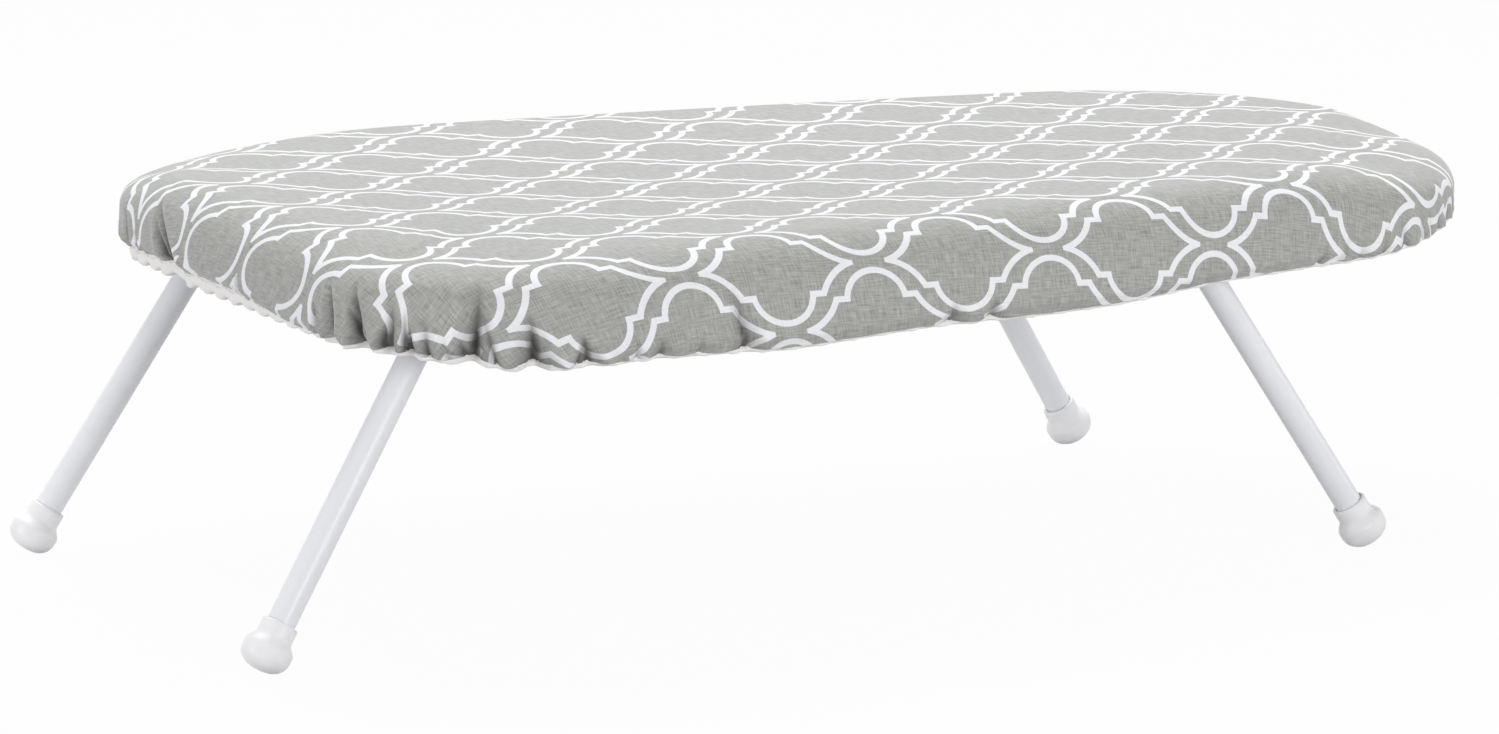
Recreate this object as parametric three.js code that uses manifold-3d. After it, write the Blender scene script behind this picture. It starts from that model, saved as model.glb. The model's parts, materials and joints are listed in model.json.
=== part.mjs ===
// Tabletop ironing board: an expanded-steel top on a pressed rim, a felt pad and a fitted cotton
// cover gathered under the rim, and two folding U-shaped tube legs with push-on feet.
// Millimetres, +Z up, +X towards the nose, +Y to the far side, standing on z = 0.
import * as THREE from 'three';
import { mergeVertices } from 'three/addons/utils/BufferGeometryUtils.js';
import Module from 'manifold-3d';

const wasm = await Module();
wasm.setup();
const DEG = Math.PI / 180;

// Board, measured over the cover
const STAND_HEIGHT = 178;
const BOARD_LENGTH = 608;
const BOARD_WIDTH = 388;
const CORNER_LENGTH = 150;
const CORNER_WIDTH = 76;
const NOSE_LENGTH = 100;
const NOSE_WIDTH = 292;
const SIDE_BOW = 4;
const END_BOW = 3;

// Layers, from the ironing surface down
const COVER_THICKNESS = 1.5;
const PAD_THICKNESS = 12;
const PAD_ROLL = 26;
const PANEL_THICKNESS = 1.2;
const BINDING_HEIGHT = 4.6;
const BINDING_WIDTH = 7;
const BINDING_TAPE = 1.2;
const ELASTIC_HEIGHT = 1.8;
const ELASTIC_WIDTH = 3.4;

// Gathers pulled in by the elastic
const GATHER_DEPTH = 4;
const SIDE_GATHER_SHARE = 0.25;
const GATHERS_PER_CORNER = 4;
const GATHERS_PER_NOSE_SIDE = 4;
const GATHERS_PER_SIDE = 2;
const HEM_TUCK = 1;
const HEM_TURN = 12;
const NOSE_HEM_RISE = 11;
const BLUNT_HEM_RISE = 5;

// Rim: a pressed angle with a lip along its lower edge
const RIM_THICKNESS = 1.2;
const RIM_DEPTH = 14;
const RIM_FLANGE = 8;
const RIM_LIP = 1.6;

// Expanded steel top
const MESH_PITCH_LONG = 58;
const MESH_PITCH_SHORT = 32;
const MESH_STRAND = 5;
const MESH_BORDER = 16;

// Leg frames
const TUBE_DIAMETER = 12.7;
const TUBE_WALL = 1;
const LEG_SPLAY = 32.4 * DEG;
const LEG_FLARE = 5.3 * DEG;
const LEG_BEND_RADIUS = 18;
const CROSSBAR_WIDTH = 238;
const BLUNT_HINGE_INSET = 51;
const NOSE_HINGE_INSET = 190;

// Feet: a collar over the tube end and a round knob
const KNOB_DIAMETER = 22.4;
const KNOB_DOME = 9.5;
const KNOB_BAND = 3;
const KNOB_SHOULDER = 4.5;
const COLLAR_DIAMETER = 16.3;
const COLLAR_LENGTH = 8;
const FOOT_FLAT = 0.5;

// Hinge plates, saddles and rivets
const PLATE_THICKNESS = 1.5;
const PLATE_MARGIN = 3;
const STOP_EAR_WIDTH = 24;
const STOP_EAR_REACH = 16;
const SADDLE_THICKNESS = 1.2;
const SADDLE_WIDTH = 18;
const SADDLE_FLANGE = 12;
const SADDLE_SPACING = 124;
const RIVET_DIAMETER = 4.8;
const RIVET_HEAD_DIAMETER = 9;
const RIVET_HEAD_HEIGHT = 1.8;
const SEAT_GAP = 0.3;

// Facets
const CORNER_STEPS = 18;
const NOSE_STEPS = 16;
const SIDE_STEPS = 8;
const END_STEPS = 4;
const ROLL_STEPS = 3;
const BEND_STEPS = 6;
const TUBE_SIDES = 12;
const FOOT_SIDES = 16;
const RIVET_SIDES = 10;

// Heights that follow from the layers
const PAD_TOP = STAND_HEIGHT - COVER_THICKNESS - SEAT_GAP;
const PANEL_TOP = PAD_TOP - PAD_THICKNESS - SEAT_GAP;
const PANEL_UNDERSIDE = PANEL_TOP - PANEL_THICKNESS;
const RIM_TOP = PANEL_UNDERSIDE - SEAT_GAP;
const RIM_BOTTOM = RIM_TOP - RIM_DEPTH;
const HEM_TOP = RIM_BOTTOM - SEAT_GAP;
const HEM_BOTTOM = HEM_TOP - HEM_TURN;
const COVER_LINING = { roll: PAD_ROLL + SEAT_GAP, depth: PAD_THICKNESS + SEAT_GAP };
const COVER_FACE = {
  roll: COVER_LINING.roll + COVER_THICKNESS,
  depth: COVER_LINING.depth + COVER_THICKNESS,
};
const PLATE_TOP = PANEL_UNDERSIDE - SEAT_GAP;
const TUBE_RADIUS = TUBE_DIAMETER / 2;
const HINGE_HEIGHT = PLATE_TOP - PLATE_THICKNESS - SEAT_GAP - TUBE_RADIUS;
const METAL_INSET = COVER_THICKNESS + SEAT_GAP;

// The tilted knob's lowest point settles how high the tube ends stand
const FOOT_TILT = Math.acos(Math.cos(LEG_SPLAY) * Math.cos(LEG_FLARE));
const KNOB_REACH = Math.hypot(
  KNOB_DOME * Math.cos(FOOT_TILT),
  (KNOB_DIAMETER / 2) * Math.sin(FOOT_TILT),
);
const TUBE_END_HEIGHT = KNOB_REACH - FOOT_FLAT;
const LEG_DROP = (HINGE_HEIGHT - TUBE_END_HEIGHT) / Math.cos(LEG_SPLAY);
const LEG_END_OFFSET = CROSSBAR_WIDTH / 2 + LEG_DROP * Math.tan(LEG_FLARE);

function finish(color, roughness, metalness) {
  return new THREE.MeshStandardMaterial({ color, roughness, metalness });
}

const cottonPrint = finish(0xb3b5b0, 0.9, 0);
const creamTape = finish(0xf3efe6, 0.85, 0);
const greyFelt = finish(0xc9c6bf, 0.95, 0);
const elasticRubber = finish(0xe8e4da, 0.8, 0);
const whiteEnamel = finish(0xf2f2f2, 0.3, 0.1);
const zincPlate = finish(0xb9bcc0, 0.4, 0.8);
const whiteVinyl = finish(0xf5f5f3, 0.55, 0);

function mesh(name, geometry, material) {
  const part = new THREE.Mesh(geometry, material);
  part.name = name;
  return part;
}

// Turn every triangle over if the closed skin faces inwards
function facingOut(geometry) {
  const p = geometry.attributes.position;
  const index = geometry.index.array;
  const a = new THREE.Vector3();
  const b = new THREE.Vector3();
  const c = new THREE.Vector3();
  let volume = 0;
  for (let i = 0; i < index.length; i += 3) {
    a.fromBufferAttribute(p, index[i]);
    b.fromBufferAttribute(p, index[i + 1]);
    c.fromBufferAttribute(p, index[i + 2]);
    volume += a.dot(b.cross(c));
  }
  if (volume < 0) {
    for (let i = 0; i < index.length; i += 3) {
      [index[i], index[i + 1]] = [index[i + 1], index[i]];
    }
  }
  geometry.computeVertexNormals();
  return geometry;
}

// Skin through loops of equal count. A closed skin joins its last loop to its first;
// an open one is capped flat at both ends.
function loft(loops, closed) {
  const count = loops[0].length;
  const index = [];
  const bands = closed ? loops.length : loops.length - 1;
  for (let j = 0; j < bands; j += 1) {
    const upper = j * count;
    const lower = ((j + 1) % loops.length) * count;
    for (let i = 0; i < count; i += 1) {
      const next = (i + 1) % count;
      index.push(upper + i, lower + i, lower + next);
      index.push(upper + i, lower + next, upper + next);
    }
  }
  if (!closed) {
    const last = (loops.length - 1) * count;
    for (const [i, j, k] of THREE.ShapeUtils.triangulateShape(loops[0], [])) {
      index.push(i, j, k);
      index.push(last + i, last + k, last + j);
    }
  }
  const geometry = new THREE.BufferGeometry().setFromPoints(loops.flat());
  geometry.setIndex(index);
  return facingOut(geometry);
}

function toSolid(geometry) {
  const bare = geometry.clone();
  bare.deleteAttribute('normal');
  bare.deleteAttribute('uv');
  const merged = mergeVertices(bare);
  return new wasm.Manifold(
    new wasm.Mesh({
      numProp: 3,
      vertProperties: Float32Array.from(merged.attributes.position.array),
      triVerts: Uint32Array.from(merged.index.array),
    }),
  );
}

function toGeometry(solid) {
  const { vertProperties, triVerts } = solid.getMesh();
  const geometry = new THREE.BufferGeometry();
  geometry.setAttribute('position', new THREE.BufferAttribute(vertProperties, 3));
  geometry.setIndex(new THREE.BufferAttribute(triVerts, 1));
  geometry.computeVertexNormals();
  return geometry;
}

function cut(geometry, tools) {
  return toGeometry(tools.reduce((solid, tool) => solid.subtract(toSolid(tool)), toSolid(geometry)));
}

function join(geometries) {
  return toGeometry(geometries.map(toSolid).reduce((solid, other) => solid.add(other)));
}

// Extrude a profile drawn across the board (x outboard, y up) to a length along Y
function pressed(profile, length) {
  const geometry = new THREE.ExtrudeGeometry(profile, {
    depth: length,
    bevelEnabled: false,
    curveSegments: BEND_STEPS,
  });
  return geometry.rotateX(Math.PI / 2).translate(0, length / 2, 0);
}

// One side of the board's outline, from the tip of the nose to the middle of the blunt end
function halfOutline() {
  const tip = new THREE.Vector2(BOARD_LENGTH / 2, 0);
  const noseStart = new THREE.Vector2(tip.x - NOSE_LENGTH, NOSE_WIDTH / 2);
  const shoulder = new THREE.Vector2(CORNER_LENGTH - tip.x, BOARD_WIDTH / 2);
  const cornerEnd = new THREE.Vector2(END_BOW - tip.x, shoulder.y - CORNER_WIDTH);
  const blunt = new THREE.Vector2(-tip.x, 0);
  const along = shoulder.clone().sub(noseStart).normalize();
  const outward = new THREE.Vector2(-along.y, along.x).negate();
  const roundness = 0.5523;
  const nose = new THREE.CubicBezierCurve(
    tip,
    new THREE.Vector2(tip.x, NOSE_WIDTH / 2 * roundness),
    noseStart.clone().addScaledVector(along, -NOSE_LENGTH * roundness),
    noseStart,
  );
  const middle = noseStart.clone().lerp(shoulder, 0.5).addScaledVector(outward, 2 * SIDE_BOW);
  const side = new THREE.QuadraticBezierCurve(noseStart, middle, shoulder);
  const corner = new THREE.CubicBezierCurve(
    shoulder,
    shoulder.clone().addScaledVector(along, CORNER_LENGTH * roundness),
    new THREE.Vector2(cornerEnd.x, cornerEnd.y + CORNER_WIDTH * roundness),
    cornerEnd,
  );
  const end = new THREE.QuadraticBezierCurve(cornerEnd, new THREE.Vector2(blunt.x, cornerEnd.y / 2), blunt);
  const gathered = { depth: GATHER_DEPTH, fade: 0.5 };
  const smooth = { depth: GATHER_DEPTH * SIDE_GATHER_SHARE, fade: 1 };
  const noseRise = [NOSE_HEM_RISE, 0];
  const cornerRise = [0, BLUNT_HEM_RISE];
  const endRise = [BLUNT_HEM_RISE, BLUNT_HEM_RISE];
  return [
    { curve: nose, steps: NOSE_STEPS, gathers: GATHERS_PER_NOSE_SIDE, rise: noseRise, ...gathered },
    { curve: side, steps: SIDE_STEPS, gathers: GATHERS_PER_SIDE, rise: [0, 0], ...smooth },
    { curve: corner, steps: CORNER_STEPS, gathers: GATHERS_PER_CORNER, rise: cornerRise, ...gathered },
    { curve: end, steps: END_STEPS, gathers: 1, rise: endRise, ...smooth },
  ];
}

// Stations round the whole outline: place, outward normal, how far a gather stands out there
// and how far the hem rises
function outlineStations() {
  const half = [];
  for (const { curve, steps, gathers, rise, depth, fade } of halfOutline()) {
    for (let i = 0; i < steps; i += 1) {
      const t = i / steps;
      const wave = 0.5 - 0.5 * Math.cos(2 * Math.PI * gathers * t);
      half.push({
        place: curve.getPoint(t),
        gather: depth * wave * Math.sin(Math.PI * t) ** fade,
        rise: THREE.MathUtils.lerp(rise[0], rise[1], THREE.MathUtils.smoothstep(t, 0, 1)),
      });
    }
  }
  const blunt = { place: new THREE.Vector2(-BOARD_LENGTH / 2, 0), gather: 0, rise: BLUNT_HEM_RISE };
  const mirrored = half.slice(1).reverse().map((station) => ({
    ...station,
    place: new THREE.Vector2(station.place.x, -station.place.y),
  }));
  const round = [...half, blunt, ...mirrored];
  return round.map((station, i) => {
    const before = round[(i + round.length - 1) % round.length].place;
    const after = round[(i + 1) % round.length].place;
    const run = after.clone().sub(before).normalize();
    return { ...station, normal: new THREE.Vector2(run.y, -run.x) };
  });
}

const STATIONS = outlineStations();

// A loop round the board at a depth inside its outline. Gathers push it out by their share,
// and a loop of the hem rises with it.
function loop(inset, z, gatherShare = 0, ofHem = false) {
  return STATIONS.map(({ place, normal, gather, rise }) => {
    const out = gather * gatherShare - inset;
    return new THREE.Vector3(place.x + normal.x * out, place.y + normal.y * out, ofHem ? z + rise : z);
  });
}

// A padded edge: a quarter ellipse from the flat top down to the side, as [inset, height] steps
function rolledEdge({ roll, depth }, inset, top) {
  const profile = [];
  for (let i = 0; i <= ROLL_STEPS; i += 1) {
    const angle = (i / ROLL_STEPS) * (Math.PI / 2);
    profile.push([inset + roll * (1 - Math.sin(angle)), top - depth * (1 - Math.cos(angle))]);
  }
  return profile;
}

// Fitted cover: a skin over the padded edge, pulled into gathers above its hem
function cover() {
  const sideMiddle = (STAND_HEIGHT - COVER_FACE.depth + HEM_TOP) / 2;
  const outside = rolledEdge(COVER_FACE, 0, STAND_HEIGHT).map(([inset, z]) => loop(inset, z));
  outside.push(loop(0, sideMiddle, 0.5), loop(0, HEM_TOP, 1), loop(HEM_TUCK, HEM_BOTTOM, 0.6, true));
  const lining = rolledEdge(COVER_LINING, COVER_THICKNESS, STAND_HEIGHT - COVER_THICKNESS);
  const inside = lining.map(([inset, z]) => loop(inset, z));
  const hemInside = HEM_TUCK + COVER_THICKNESS;
  inside.push(loop(COVER_THICKNESS, HEM_TOP, 1), loop(hemInside, HEM_BOTTOM, 0.6, true));
  return mesh('cover', loft([...outside, ...inside.reverse()], false), cottonPrint);
}

// Felt pad, rounded along its upper edge to carry the cover
function pad() {
  const edge = rolledEdge({ roll: PAD_ROLL, depth: PAD_THICKNESS }, METAL_INSET, PAD_TOP);
  const loops = edge.map(([inset, z]) => loop(inset, z));
  return mesh('pad', loft(loops, false), greyFelt);
}

// Bias tape folded into a channel under the cover's lower edge
function hemBinding() {
  const outer = HEM_TUCK;
  const inner = outer + BINDING_WIDTH;
  const top = HEM_BOTTOM - SEAT_GAP;
  const bottom = top - BINDING_HEIGHT;
  const section = [
    [outer + BINDING_TAPE, top],
    [outer, top],
    [outer, bottom],
    [inner, bottom],
    [inner, top],
    [inner - BINDING_TAPE, top],
    [inner - BINDING_TAPE, bottom + BINDING_TAPE],
    [outer + BINDING_TAPE, bottom + BINDING_TAPE],
  ];
  return mesh('hem_binding', loft(section.map(([d, z]) => loop(d, z, 0.6, true)), true), creamTape);
}

// Flat elastic lying in the binding's channel
function hemElastic() {
  const bottom = HEM_BOTTOM - SEAT_GAP - BINDING_HEIGHT + BINDING_TAPE + SEAT_GAP;
  const middle = HEM_TUCK + BINDING_WIDTH / 2;
  const section = [
    [middle - ELASTIC_WIDTH / 2, bottom + ELASTIC_HEIGHT],
    [middle - ELASTIC_WIDTH / 2, bottom],
    [middle + ELASTIC_WIDTH / 2, bottom],
    [middle + ELASTIC_WIDTH / 2, bottom + ELASTIC_HEIGHT],
  ];
  return mesh('hem_elastic', loft(section.map(([d, z]) => loop(d, z, 0.6, true)), true), elasticRubber);
}

// Rim: a wall round the board with a flange under the steel top and a lip at the bottom
function rimFrame() {
  const outer = METAL_INSET;
  const inner = outer + RIM_THICKNESS;
  const section = [
    [outer + RIM_FLANGE, RIM_TOP],
    [outer, RIM_TOP],
    [outer, RIM_BOTTOM],
    [inner + RIM_LIP, RIM_BOTTOM],
    [inner + RIM_LIP, RIM_BOTTOM + RIM_THICKNESS],
    [inner, RIM_BOTTOM + RIM_THICKNESS],
    [inner, RIM_TOP - RIM_THICKNESS],
    [outer + RIM_FLANGE, RIM_TOP - RIM_THICKNESS],
  ];
  return mesh('rim_frame', loft(section.map(([d, z]) => loop(d, z)), true), whiteEnamel);
}

// The two hinge lines and the rivets that hold a saddle, seen from above
const HINGES = [
  { end: 'blunt', x: BLUNT_HINGE_INSET - BOARD_LENGTH / 2, outboard: -1 },
  { end: 'nose', x: BOARD_LENGTH / 2 - NOSE_HINGE_INSET, outboard: 1 },
];
const SADDLE_BORE = TUBE_RADIUS + SEAT_GAP;
const SADDLE_OUTER = SADDLE_BORE + SADDLE_THICKNESS;
const SADDLE_REACH = SADDLE_OUTER + SADDLE_FLANGE;
const RIVET_OFFSET = SADDLE_OUTER + SADDLE_FLANGE / 2;
const RIVET_HOLE = RIVET_DIAMETER / 2 + SEAT_GAP;
const PLATE_HALF_WIDTH = SADDLE_REACH + PLATE_MARGIN;
const PLATE_HALF_LENGTH = CROSSBAR_WIDTH / 2;
const SADDLE_PLACES = [-SADDLE_SPACING / 2, SADDLE_SPACING / 2];
const RIVET_ROWS = [{ row: 'inner', x: -RIVET_OFFSET }, { row: 'outer', x: RIVET_OFFSET }];

function polygon(x, y, radiusX, radiusY, sides) {
  const points = [];
  for (let i = 0; i < sides; i += 1) {
    const angle = (i / sides) * 2 * Math.PI;
    points.push(new THREE.Vector2(x + radiusX * Math.cos(angle), y + radiusY * Math.sin(angle)));
  }
  return points;
}

// Diamond openings in staggered rows, left solid near the edge and where the hinge plates lie
function meshOpenings() {
  const border = loop(METAL_INSET + MESH_BORDER, 0);
  const long = MESH_PITCH_LONG / 2 - MESH_STRAND * (MESH_PITCH_LONG / MESH_PITCH_SHORT);
  const short = MESH_PITCH_SHORT / 2 - MESH_STRAND;
  const inside = (p) => border.every((a, i) => {
    const b = border[(i + 1) % border.length];
    return (b.x - a.x) * (p.y - a.y) - (b.y - a.y) * (p.x - a.x) > 0;
  });
  const underPlate = (p) => HINGES.some(({ x }) => (
    Math.abs(p.x - x) < PLATE_HALF_WIDTH && Math.abs(p.y) < PLATE_HALF_LENGTH
  ));
  const rows = Math.ceil(BOARD_WIDTH / MESH_PITCH_SHORT);
  const columns = Math.ceil(BOARD_LENGTH / MESH_PITCH_LONG);
  const openings = [];
  for (let row = -rows; row <= rows; row += 1) {
    for (let column = -columns; column <= columns; column += 1) {
      const x = (column + (row % 2 ? 0.5 : 0)) * MESH_PITCH_LONG;
      const diamond = polygon(x, row * MESH_PITCH_SHORT / 2, long, short, 4);
      if (diamond.every((p) => inside(p) && !underPlate(p))) openings.push(diamond);
    }
  }
  return openings;
}

function rivetHole(x, y) {
  const reach = 4 * (PLATE_THICKNESS + SADDLE_THICKNESS + SADDLE_BORE);
  const drill = new THREE.CylinderGeometry(RIVET_HOLE, RIVET_HOLE, reach, RIVET_SIDES);
  return drill.rotateX(Math.PI / 2).translate(x, y, 0);
}

// Expanded steel top, drilled for the rivets
function meshPanel() {
  const plate = loft([loop(METAL_INSET, PANEL_TOP), loop(METAL_INSET, PANEL_UNDERSIDE)], false);
  const openings = meshOpenings().map((opening) => {
    const through = { depth: 3 * PANEL_THICKNESS, bevelEnabled: false };
    const punch = new THREE.ExtrudeGeometry(new THREE.Shape(opening), through);
    return punch.translate(0, 0, PANEL_UNDERSIDE - PANEL_THICKNESS);
  });
  const holes = HINGES.flatMap((hinge) => SADDLE_PLACES.flatMap((y) => (
    RIVET_ROWS.map(({ x }) => rivetHole(hinge.x + x, y).translate(0, 0, PANEL_UNDERSIDE))
  )));
  return mesh('mesh_panel', cut(plate, [...openings, ...holes]), whiteEnamel);
}

// Hinge plate over the crossbar, with an ear at each end that stops the open leg.
// Local frame: origin on the hinge axis, x outboard, z up.
function hingePlate(end) {
  const underside = SADDLE_BORE;
  const base = new THREE.BoxGeometry(2 * PLATE_HALF_WIDTH, 2 * PLATE_HALF_LENGTH, PLATE_THICKNESS);
  base.translate(0, 0, underside + PLATE_THICKNESS / 2);
  const down = new THREE.Vector2(Math.sin(LEG_SPLAY), -Math.cos(LEG_SPLAY));
  const away = new THREE.Vector2(Math.cos(LEG_SPLAY), Math.sin(LEG_SPLAY));
  const face = away.clone().multiplyScalar(SADDLE_BORE);
  const root = (face.y - underside - PLATE_THICKNESS / 2) / Math.cos(LEG_SPLAY);
  const upper = face.clone().addScaledVector(down, root);
  const lower = face.clone().addScaledVector(down, STOP_EAR_REACH);
  const section = new THREE.Shape([
    upper,
    lower,
    lower.clone().addScaledVector(away, PLATE_THICKNESS),
    upper.clone().addScaledVector(away, PLATE_THICKNESS).setY(upper.y),
  ]);
  const ears = [-1, 1].map((side) => (
    pressed(section, STOP_EAR_WIDTH).translate(0, side * (PLATE_HALF_LENGTH - STOP_EAR_WIDTH / 2), 0)
  ));
  const holes = SADDLE_PLACES.flatMap((y) => RIVET_ROWS.map(({ x }) => rivetHole(x, y)));
  return mesh(`${end}_hinge_plate`, cut(join([base, ...ears]), holes), zincPlate);
}

// Saddle strap: a half-round under the crossbar with a riveted flange on each side
function saddle(end, side, y) {
  const top = SADDLE_BORE - SEAT_GAP;
  const flangeUnder = top - SADDLE_THICKNESS;
  const section = new THREE.Shape();
  section.moveTo(-SADDLE_REACH, top);
  section.lineTo(-SADDLE_REACH, flangeUnder);
  section.lineTo(-SADDLE_OUTER, flangeUnder);
  section.lineTo(-SADDLE_OUTER, 0);
  section.absarc(0, 0, SADDLE_OUTER, Math.PI, 2 * Math.PI, false);
  section.lineTo(SADDLE_OUTER, flangeUnder);
  section.lineTo(SADDLE_REACH, flangeUnder);
  section.lineTo(SADDLE_REACH, top);
  section.lineTo(SADDLE_BORE, top);
  section.lineTo(SADDLE_BORE, 0);
  section.absarc(0, 0, SADDLE_BORE, 2 * Math.PI, Math.PI, true);
  section.lineTo(-SADDLE_BORE, top);
  const strap = pressed(section, SADDLE_WIDTH).translate(0, y, 0);
  return mesh(`${end}_saddle_${side}`, cut(strap, RIVET_ROWS.map(({ x }) => rivetHole(x, y))), zincPlate);
}

// Rivet: a domed head under the saddle flange and a shank up through the plate and the top
function rivet(end, side, y, { row, x }) {
  const headTop = SADDLE_BORE - SADDLE_THICKNESS - 2 * SEAT_GAP;
  const shankTop = SADDLE_BORE + PLATE_THICKNESS + SEAT_GAP + PANEL_THICKNESS;
  const dome = RIVET_HEAD_DIAMETER / 2;
  const profile = [
    new THREE.Vector2(0, headTop - RIVET_HEAD_HEIGHT),
    new THREE.Vector2(dome * 0.6, headTop - RIVET_HEAD_HEIGHT * 0.8),
    new THREE.Vector2(dome, headTop - RIVET_HEAD_HEIGHT * 0.2),
    new THREE.Vector2(dome, headTop),
    new THREE.Vector2(RIVET_DIAMETER / 2, headTop),
    new THREE.Vector2(RIVET_DIAMETER / 2, shankTop),
    new THREE.Vector2(0, shankTop),
  ];
  const turned = new THREE.LatheGeometry(profile, RIVET_SIDES).rotateX(Math.PI / 2);
  return mesh(`${end}_rivet_${side}_${row}`, turned.translate(x, y, 0), zincPlate);
}

// Centre line of a leg frame in its own plane: up one leg, along the crossbar, down the other
function legLine() {
  const turn = Math.PI / 2 - LEG_FLARE;
  const bendStart = CROSSBAR_WIDTH / 2 - LEG_BEND_RADIUS * Math.tan(turn / 2);
  const half = [];
  for (let i = 0; i <= BEND_STEPS; i += 1) {
    const angle = (i / BEND_STEPS) * turn;
    half.push(new THREE.Vector2(
      bendStart + LEG_BEND_RADIUS * Math.sin(angle),
      LEG_BEND_RADIUS * (Math.cos(angle) - 1),
    ));
  }
  half.push(new THREE.Vector2(LEG_END_OFFSET, -LEG_DROP));
  const mirrored = half.map((p) => new THREE.Vector2(-p.x, p.y)).reverse();
  return [...mirrored, ...half];
}

// Leg frame: one length of tube, bent twice and open at both ends
function legFrame(end) {
  const line = legLine();
  const rings = (radius) => line.map((p, i) => {
    const before = line[Math.max(i - 1, 0)];
    const after = line[Math.min(i + 1, line.length - 1)];
    const into = p.clone().sub(before).normalize();
    const out = after.clone().sub(p).normalize();
    const run = into.add(out).normalize();
    const ring = [];
    for (let k = 0; k < TUBE_SIDES; k += 1) {
      const angle = (k / TUBE_SIDES) * 2 * Math.PI;
      const across = radius * Math.cos(angle);
      ring.push(new THREE.Vector3(radius * Math.sin(angle), p.x - run.y * across, p.y + run.x * across));
    }
    return ring;
  });
  const skin = [...rings(TUBE_RADIUS), ...rings(TUBE_RADIUS - TUBE_WALL).reverse()];
  return mesh(`${end}_leg_frame`, loft(skin, true), whiteEnamel);
}

// Push-on foot, turned about the tube's axis; the tube end sits at the knob's widest part
function footProfile() {
  const knob = KNOB_DIAMETER / 2;
  const bore = TUBE_RADIUS + SEAT_GAP;
  const collar = COLLAR_DIAMETER / 2;
  const domeSteps = 5;
  const profile = [];
  for (let i = 0; i <= domeSteps; i += 1) {
    const angle = (i / domeSteps) * (Math.PI / 2);
    profile.push(new THREE.Vector2(knob * Math.sin(angle), -KNOB_DOME * Math.cos(angle)));
  }
  const shoulderTop = KNOB_BAND + KNOB_SHOULDER;
  const collarTop = shoulderTop + COLLAR_LENGTH;
  const softened = (collar - bore) / 2;
  profile.push(
    new THREE.Vector2(knob, KNOB_BAND),
    new THREE.Vector2(knob + (collar - knob) * 0.4, KNOB_BAND + KNOB_SHOULDER * 0.7),
    new THREE.Vector2(collar, shoulderTop),
    new THREE.Vector2(collar, collarTop - softened),
    new THREE.Vector2(collar - softened, collarTop),
    new THREE.Vector2(bore, collarTop),
    new THREE.Vector2(bore, -SEAT_GAP),
    new THREE.Vector2(0, -SEAT_GAP),
  );
  return profile;
}

// The knob is pressed flat where it stands: cut level with the table under the open leg
function foot(end, side, across, legTurn) {
  const turned = new THREE.LatheGeometry(footProfile(), FOOT_SIDES).rotateX(Math.PI / 2);
  const place = new THREE.Group();
  place.rotation.x = across * LEG_FLARE;
  place.position.set(0, across * LEG_END_OFFSET, -LEG_DROP);
  place.updateMatrix();
  const standing = new THREE.Matrix4().makeRotationY(legTurn).multiply(place.matrix);
  const table = new THREE.BoxGeometry(2 * STAND_HEIGHT, 2 * BOARD_WIDTH, KNOB_DIAMETER);
  const middle = new THREE.Vector3().applyMatrix4(standing);
  table.translate(middle.x, middle.y, -HINGE_HEIGHT - KNOB_DIAMETER / 2);
  const flattened = cut(turned.applyMatrix4(standing), [table]);
  const part = mesh(`${end}_foot_${side}`, flattened.applyMatrix4(standing.invert()), whiteVinyl);
  part.position.copy(place.position);
  part.rotation.copy(place.rotation);
  return part;
}

// Hinge hardware and leg frame at one end of the board
function legEnd({ end, x, outboard }) {
  const group = new THREE.Group();
  group.position.set(x, 0, HINGE_HEIGHT);
  group.rotation.z = outboard > 0 ? 0 : Math.PI;
  const sideOf = (across) => (across * outboard < 0 ? 'near' : 'far');
  group.add(hingePlate(end));
  for (const y of SADDLE_PLACES) {
    group.add(saddle(end, sideOf(y), y));
    for (const row of RIVET_ROWS) group.add(rivet(end, sideOf(y), y, row));
  }
  const legs = new THREE.Group();
  legs.rotation.y = -LEG_SPLAY;
  legs.add(legFrame(end));
  for (const across of [-1, 1]) legs.add(foot(end, sideOf(across), across, legs.rotation.y));
  group.add(legs);
  return group;
}

const board = new THREE.Group();
board.add(meshPanel(), rimFrame(), pad(), cover(), hemBinding(), hemElastic());
for (const hinge of HINGES) board.add(legEnd(hinge));

// The origin lies on the table under the middle of the whole stand
const extent = new THREE.Box3().setFromObject(board, true);
board.position.x = -(extent.min.x + extent.max.x) / 2;

export default board;
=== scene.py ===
import json
import math

import bmesh
import bpy
import numpy as np
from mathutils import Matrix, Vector


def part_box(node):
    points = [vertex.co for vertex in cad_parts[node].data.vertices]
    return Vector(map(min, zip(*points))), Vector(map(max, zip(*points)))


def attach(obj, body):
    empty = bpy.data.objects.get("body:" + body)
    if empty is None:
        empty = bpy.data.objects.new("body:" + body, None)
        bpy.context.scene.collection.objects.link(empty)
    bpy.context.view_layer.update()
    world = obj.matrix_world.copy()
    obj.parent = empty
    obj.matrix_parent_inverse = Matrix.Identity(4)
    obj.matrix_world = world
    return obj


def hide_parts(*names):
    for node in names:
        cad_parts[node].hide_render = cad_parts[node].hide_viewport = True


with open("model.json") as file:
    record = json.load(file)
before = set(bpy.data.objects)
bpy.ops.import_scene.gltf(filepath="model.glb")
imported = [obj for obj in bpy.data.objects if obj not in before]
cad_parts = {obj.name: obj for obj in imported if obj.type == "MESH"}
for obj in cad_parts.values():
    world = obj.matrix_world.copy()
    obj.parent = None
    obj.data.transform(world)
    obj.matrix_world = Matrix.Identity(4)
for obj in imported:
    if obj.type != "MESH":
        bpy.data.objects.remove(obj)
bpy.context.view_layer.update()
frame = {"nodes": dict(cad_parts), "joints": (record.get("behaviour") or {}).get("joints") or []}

# Expanded steel top: sheet slit and pulled open into diamonds, then sprayed white and baked.
# It carries the pad, lets the steam out below, and the hinge rivets pass through it.


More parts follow.
